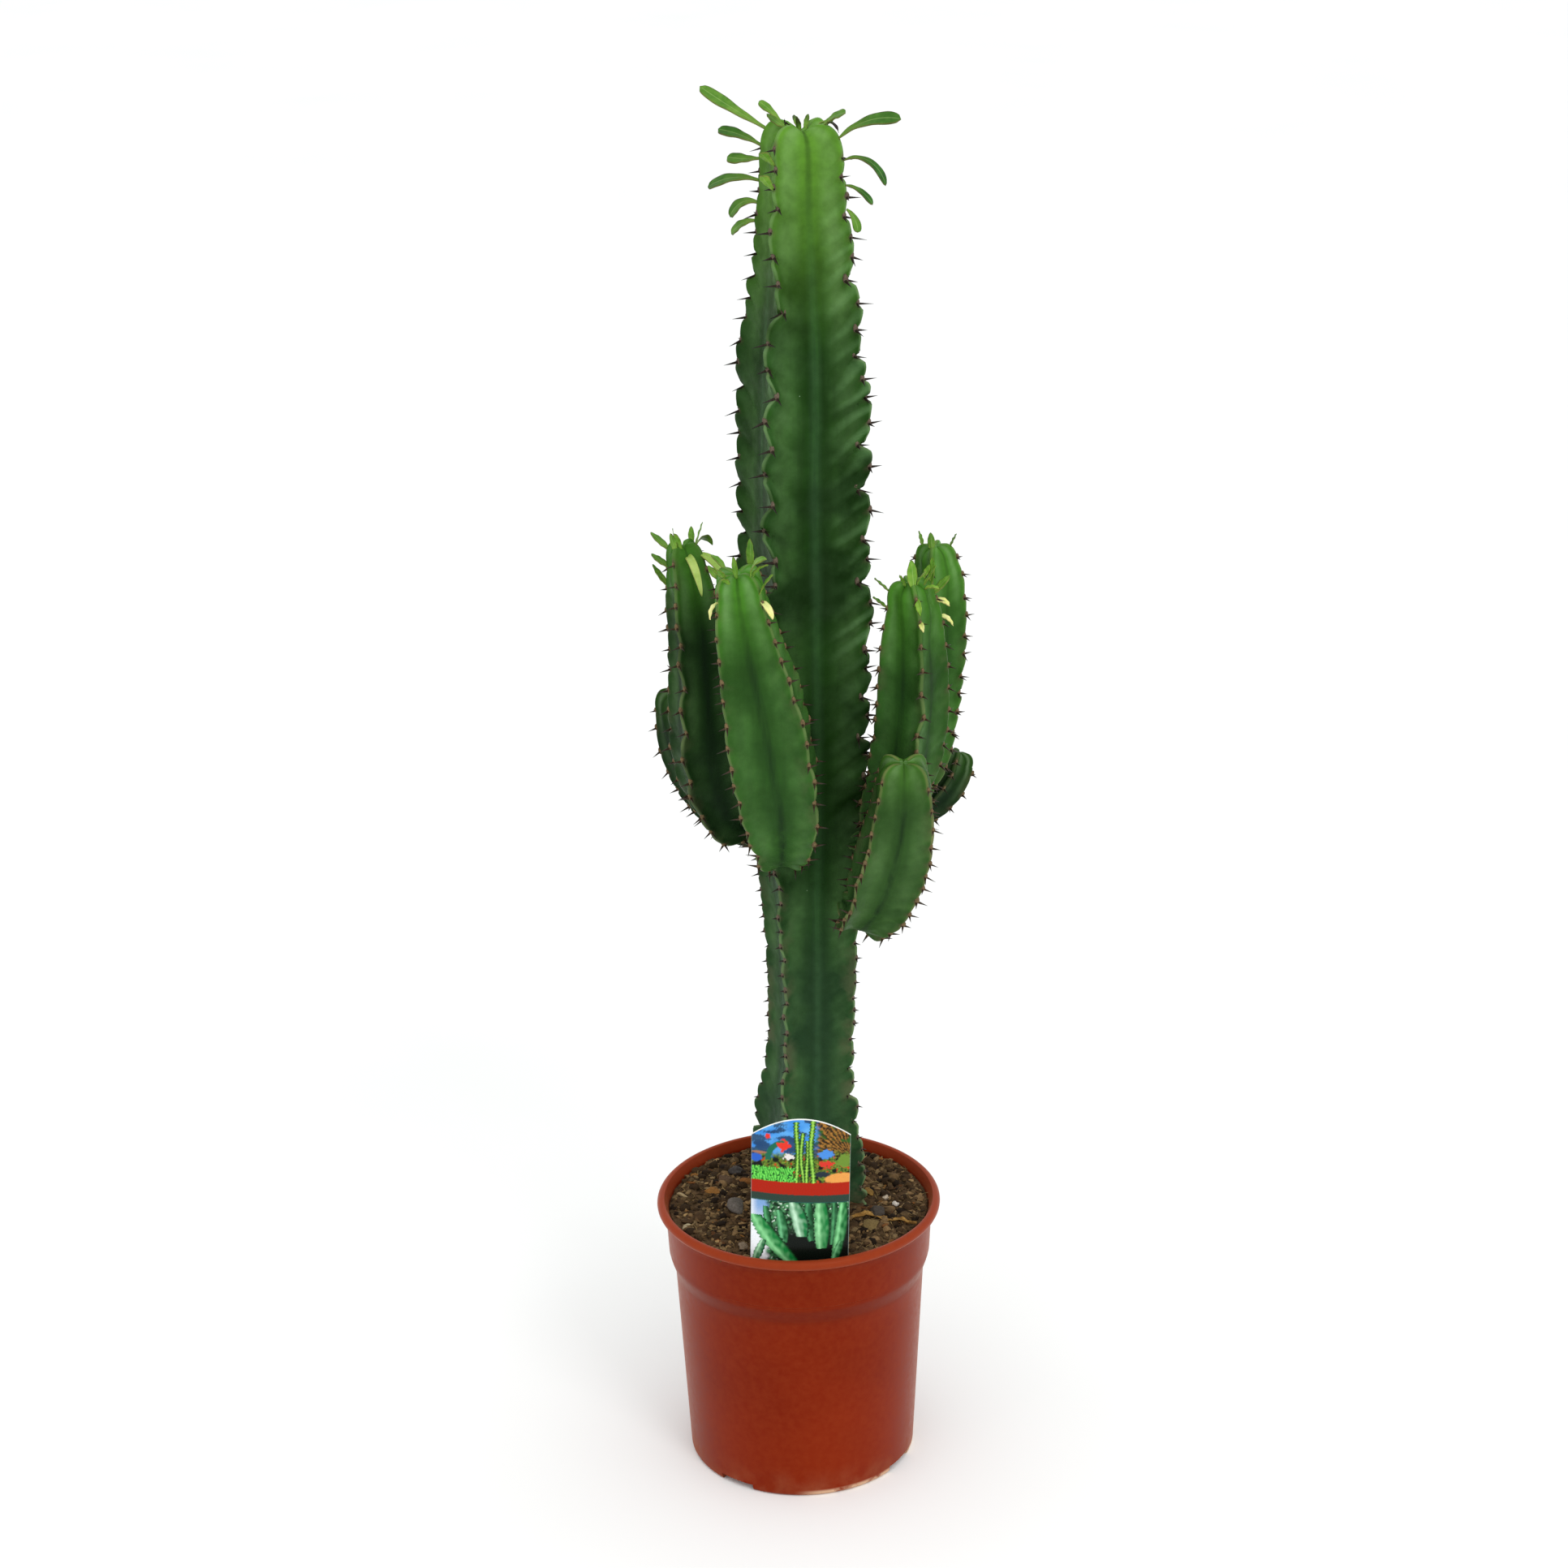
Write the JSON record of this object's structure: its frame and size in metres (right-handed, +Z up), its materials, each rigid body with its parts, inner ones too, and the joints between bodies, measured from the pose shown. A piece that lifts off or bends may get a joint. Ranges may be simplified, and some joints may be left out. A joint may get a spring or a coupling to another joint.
{
  "type": "potted euphorbia",
  "caption": "Young tree-like euphorbia with a tall four-ribbed spiny stem, shorter upturned side arms and small leaves, in a round terracotta-coloured plastic nursery pot with a picture label.",
  "frame": {"origin": "centre of the pot's foot, on the surface it stands on", "axes": "+Z up along the pot's axis and the stem; -Y is the front, the side the label faces; +X is to the right seen from the front"},
  "size_m": [0.1924, 0.1753, 0.8225],
  "materials": {
    "pot_plastic": "thin injection-moulded plastic, terracotta red-brown, satin",
    "potting_soil": "moist dark peat with bark chips and crumbs",
    "label_print": "thin printed plastic card, smooth, semi-gloss",
    "stem_skin": "waxy green succulent skin, satin, paler at the tips and corky low down",
    "leaf_blade": "thin fleshy leaf, satin, with a pale midrib"
  },
  "bodies": {
    "root": {"pot": "pot_plastic", "soil": "potting_soil", "plant_label": "label_print", "trunk": "stem_skin", "arm_front_left": "stem_skin", "arm_left": "stem_skin", "arm_low_rear_right": "stem_skin", "arm_lower_right": "stem_skin", "arm_rear_left": "stem_skin", "arm_rear_right": "stem_skin", "arm_right": "stem_skin", "leaf_arm_front_left_1": "leaf_blade", "leaf_arm_front_left_2": "leaf_blade", "leaf_arm_front_left_3": "leaf_blade", "leaf_arm_front_left_4": "leaf_blade", "leaf_arm_front_left_5": "leaf_blade", "leaf_arm_front_left_6": "leaf_blade", "leaf_arm_front_left_7": "leaf_blade", "leaf_arm_left_1": "leaf_blade", "leaf_arm_left_2": "leaf_blade", "leaf_arm_left_3": "leaf_blade", "leaf_arm_left_4": "leaf_blade", "leaf_arm_left_5": "leaf_blade", "leaf_arm_left_6": "leaf_blade", "leaf_arm_left_7": "leaf_blade", "leaf_arm_left_8": "leaf_blade", "leaf_arm_left_9": "leaf_blade", "leaf_arm_rear_right_1": "leaf_blade", "leaf_arm_rear_right_2": "leaf_blade", "leaf_arm_rear_right_3": "leaf_blade", "leaf_arm_right_1": "leaf_blade", "leaf_arm_right_10": "leaf_blade", "leaf_arm_right_2": "leaf_blade", "leaf_arm_right_3": "leaf_blade", "leaf_arm_right_4": "leaf_blade", "leaf_arm_right_5": "leaf_blade", "leaf_arm_right_6": "leaf_blade", "leaf_arm_right_7": "leaf_blade", "leaf_arm_right_8": "leaf_blade", "leaf_arm_right_9": "leaf_blade", "leaf_trunk_1": "leaf_blade", "leaf_trunk_10": "leaf_blade", "leaf_trunk_11": "leaf_blade", "leaf_trunk_12": "leaf_blade", "leaf_trunk_13": "leaf_blade", "leaf_trunk_14": "leaf_blade", "leaf_trunk_2": "leaf_blade", "leaf_trunk_3": "leaf_blade", "leaf_trunk_4": "leaf_blade", "leaf_trunk_5": "leaf_blade", "leaf_trunk_6": "leaf_blade", "leaf_trunk_7": "leaf_blade", "leaf_trunk_8": "leaf_blade", "leaf_trunk_9": "leaf_blade"}
  },
  "joints": []
}
